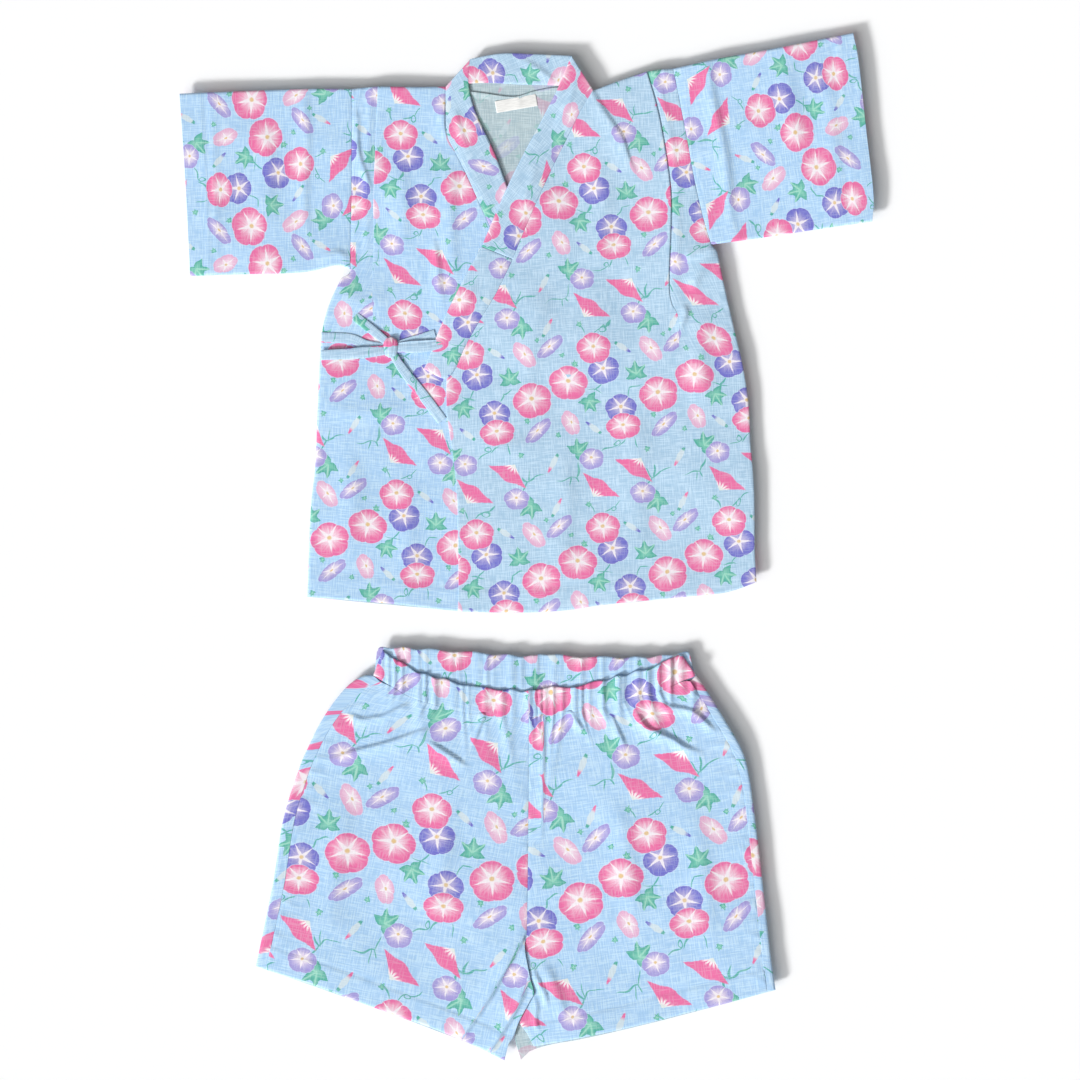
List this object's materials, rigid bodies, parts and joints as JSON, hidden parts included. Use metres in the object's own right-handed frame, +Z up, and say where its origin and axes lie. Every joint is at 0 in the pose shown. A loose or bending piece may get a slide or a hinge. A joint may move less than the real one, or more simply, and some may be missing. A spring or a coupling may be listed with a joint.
{
  "type": "jinbei set",
  "caption": "Child's summer jinbei laid flat: a floral cotton wrap jacket tied in a bow at the side, with matching elastic-waist shorts.",
  "frame": {"origin": "centre of the laid-out set's footprint, on the surface it lies on", "axes": "+Z up off the surface, +Y from the shorts towards the jacket's neck, +X towards the wearer's left, with the fronts facing up"},
  "size_m": [0.582, 0.862, 0.0076],
  "materials": {
    "printed_cotton": "light blue slub cotton printed with morning glories in pink, purple and lilac, matt",
    "label_tape": "blank white woven tape, slightly glossy"
  },
  "bodies": {
    "root": {"top_back": "printed_cotton", "top_front_right": "printed_cotton", "top_front_left": "printed_cotton", "sleeve_right": "printed_cotton", "sleeve_left": "printed_cotton", "collar_neck": "printed_cotton", "collar_band_right": "printed_cotton", "collar_band_left": "printed_cotton", "collar_band_left_end": "printed_cotton", "tie_side": "printed_cotton", "tie_band": "printed_cotton", "tie_end_upper": "printed_cotton", "tie_end_lower": "printed_cotton", "bow_loop_right": "printed_cotton", "bow_loop_left": "printed_cotton", "bow_knot": "printed_cotton", "shorts_front_right": "printed_cotton", "shorts_front_left": "printed_cotton", "shorts_back_right": "printed_cotton", "shorts_back_left": "printed_cotton", "waist_casing_front": "printed_cotton", "waist_casing_back": "printed_cotton", "neck_label": "label_tape"}
  },
  "joints": []
}
